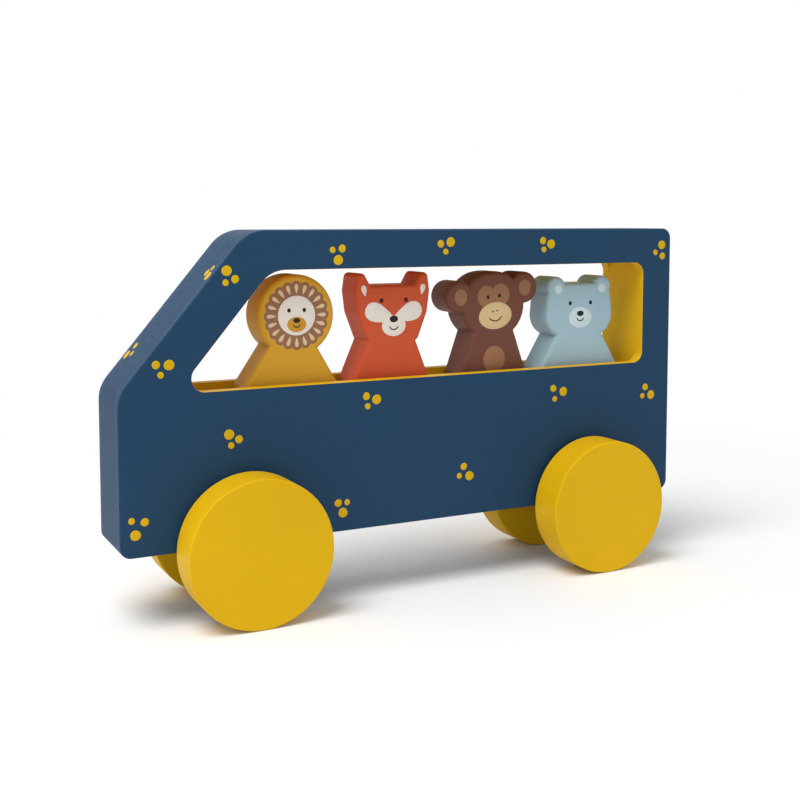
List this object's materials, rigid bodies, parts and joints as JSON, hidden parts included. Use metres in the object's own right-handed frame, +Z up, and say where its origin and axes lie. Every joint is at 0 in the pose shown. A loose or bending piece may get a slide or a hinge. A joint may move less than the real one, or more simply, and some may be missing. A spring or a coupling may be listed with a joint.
{
  "type": "toy bus",
  "caption": "Wooden toy bus with painted side panels on a wooden core, disc wheels on turning axles and loose animal passengers that tip out of its open window.",
  "frame": {"origin": "on the ground, below the middle of the bus's length and width", "axes": "+X towards the front of the bus, +Y towards its left side, +Z up"},
  "size_m": [0.29, 0.0746, 0.1702],
  "materials": {
    "blue_paint": "matt dark blue paint on wood",
    "yellow_paint": "matt mustard yellow paint on wood",
    "beech": "bare turned beech",
    "steel": "zinc-plated steel",
    "ochre_paint": "matt ochre paint on wood",
    "rust_paint": "matt rust paint on wood",
    "brown_paint": "matt brown paint on wood",
    "pale_blue_paint": "matt pale blue paint on wood"
  },
  "bodies": {
    "bus_body": {"left_side_panel": "blue_paint", "right_side_panel": "blue_paint", "chassis_block": "blue_paint", "windscreen_post": "blue_paint", "roof_rail": "blue_paint", "rear_post": "yellow_paint", "panel_dowels": "beech", "frame_dowels": "beech", "front_axle_cap": "blue_paint", "rear_axle_cap": "blue_paint", "axle_cap_screws": "steel"},
    "front_wheelset": {"front_axle": "beech", "front_left_wheel": "yellow_paint", "front_right_wheel": "yellow_paint"},
    "rear_wheelset": {"rear_axle": "beech", "rear_left_wheel": "yellow_paint", "rear_right_wheel": "yellow_paint"},
    "lion_passenger": {"lion": "ochre_paint"},
    "fox_passenger": {"fox": "rust_paint"},
    "monkey_passenger": {"monkey": "brown_paint"},
    "bear_passenger": {"bear": "pale_blue_paint"}
  },
  "joints": [
    {"name": "front_axle_spin", "type": "hinge", "parent": "bus_body", "child": "front_wheelset", "pos_m": [0.0888, 0, 0.03275], "axis": [0, 1, 0], "continuous": true},
    {"name": "rear_axle_spin", "type": "hinge", "parent": "bus_body", "child": "rear_wheelset", "pos_m": [-0.0932, 0, 0.03275], "axis": [0, 1, 0], "continuous": true},
    {"name": "lion_tip", "type": "hinge", "parent": "bus_body", "child": "lion_passenger", "pos_m": [0.0615, 0.0065, 0.10125], "axis": [-1, 0, 0], "range_deg": [0, 60]},
    {"name": "fox_tip", "type": "hinge", "parent": "bus_body", "child": "fox_passenger", "pos_m": [0.0125, 0.0065, 0.10125], "axis": [-1, 0, 0], "range_deg": [0, 60]},
    {"name": "monkey_tip", "type": "hinge", "parent": "bus_body", "child": "monkey_passenger", "pos_m": [-0.0429, 0.0065, 0.10125], "axis": [-1, 0, 0], "range_deg": [0, 60]},
    {"name": "bear_tip", "type": "hinge", "parent": "bus_body", "child": "bear_passenger", "pos_m": [-0.0944, 0.0065, 0.10125], "axis": [-1, 0, 0], "range_deg": [0, 60]}
  ]
}
